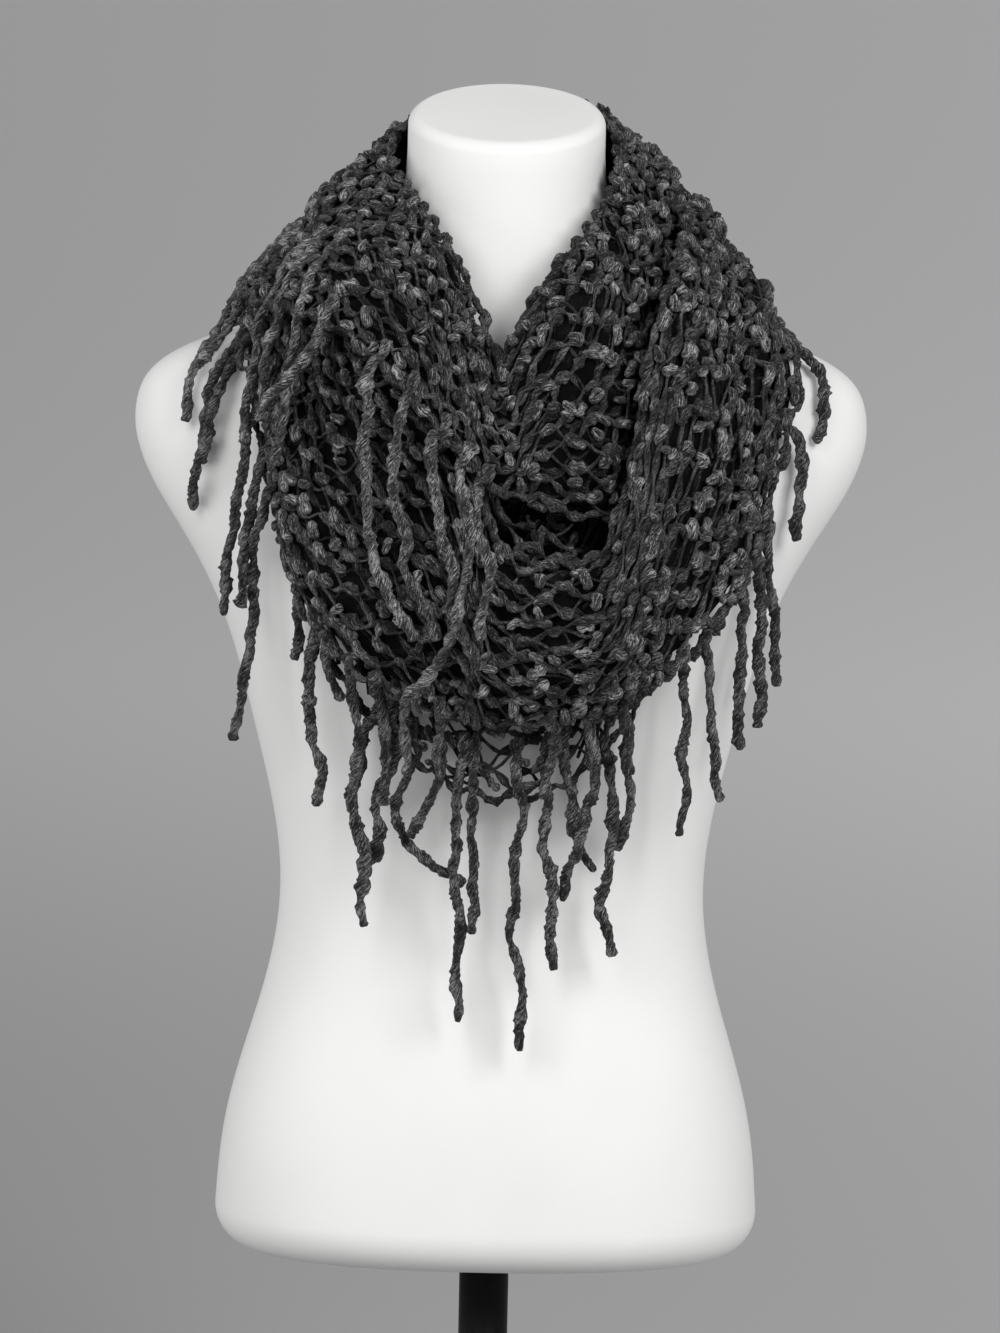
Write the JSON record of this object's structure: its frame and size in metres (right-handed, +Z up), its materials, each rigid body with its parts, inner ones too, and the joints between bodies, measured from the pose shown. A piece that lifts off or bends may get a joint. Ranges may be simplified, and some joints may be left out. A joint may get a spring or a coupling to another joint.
{
  "type": "fringe scarf on dress form",
  "caption": "Open-mesh knitted loop scarf with yarn fringe, wound round the neck of a limbless dress form that stands on a pole and round base.",
  "frame": {"origin": "centre of the base's underside, on the axis of the pole", "axes": "+Z up, -Y towards the front of the form, +X to the viewer's right"},
  "size_m": [0.414, 0.33, 0.8786],
  "materials": {
    "form_cover": "matt white with a fine grain",
    "stand_metal": "satin black",
    "yarn": "bulky marled charcoal yarn, slightly fuzzy"
  },
  "bodies": {
    "root": {"base": "stand_metal", "pole": "stand_metal", "dress_form": "form_cover", "under_wrap": "yarn", "cowl_wrap": "yarn", "outer_wrap": "yarn", "fringe_under_front": "yarn", "fringe_outer_front": "yarn", "fringe_outer_right": "yarn", "fringe_outer_left": "yarn", "fringe_cowl_front": "yarn", "fringe_cowl_left": "yarn", "fringe_outer_back": "yarn", "fringe_cowl_back": "yarn"}
  },
  "joints": []
}
